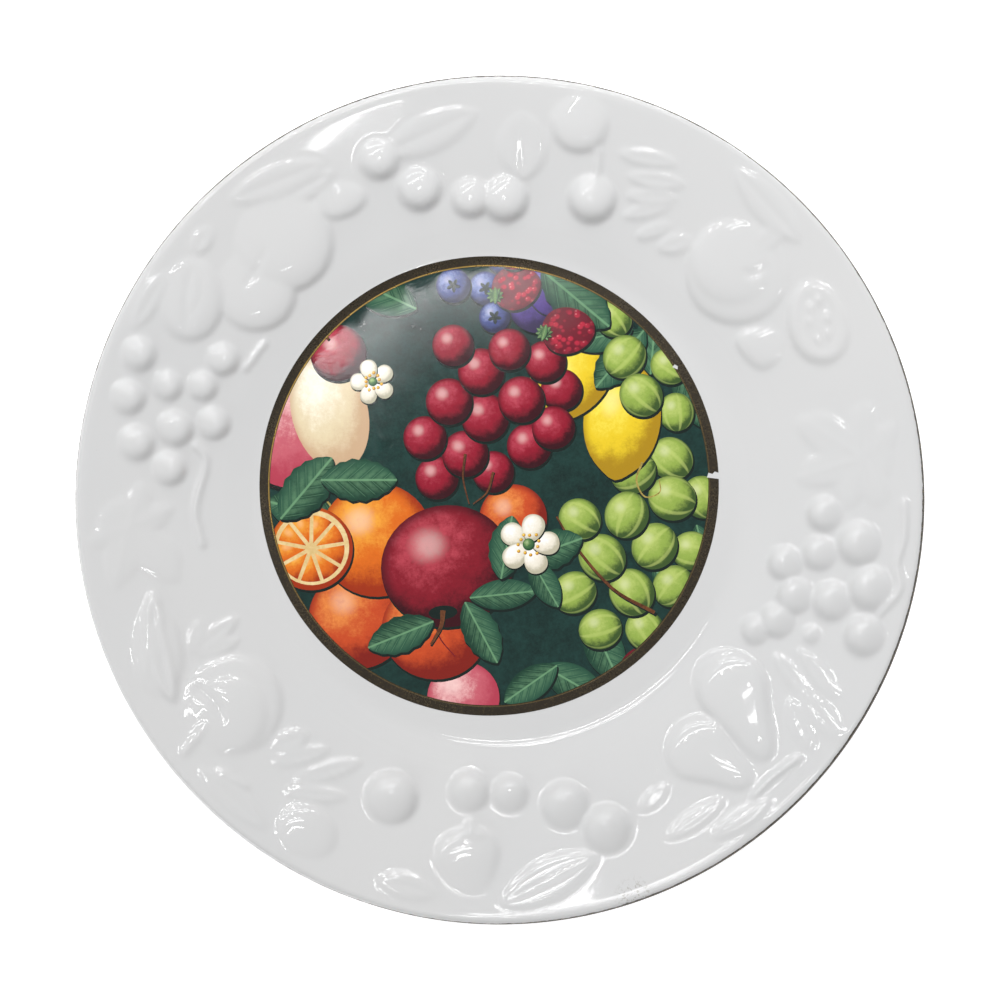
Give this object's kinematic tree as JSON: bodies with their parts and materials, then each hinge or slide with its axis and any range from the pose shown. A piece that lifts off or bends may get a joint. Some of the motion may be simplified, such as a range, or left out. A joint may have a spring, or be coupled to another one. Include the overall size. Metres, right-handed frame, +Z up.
{
  "type": "decorative ceramic plate",
  "caption": "Round white glazed decorative plate with a fruit and leaf garland in low relief on its broad rim and a printed fruit picture in the well.",
  "frame": {"origin": "middle of the foot ring's standing face, on the surface the plate lies on", "axes": "+Z up out of the front face, +Y towards the top of the printed picture, +X to its right"},
  "size_m": [0.2098, 0.2098, 0.0193],
  "materials": {
    "glaze": "glossy white glaze with a printed fruit picture and dark gilt lines, bare foot ring"
  },
  "bodies": {
    "root": {"plate": "glaze"}
  },
  "joints": []
}
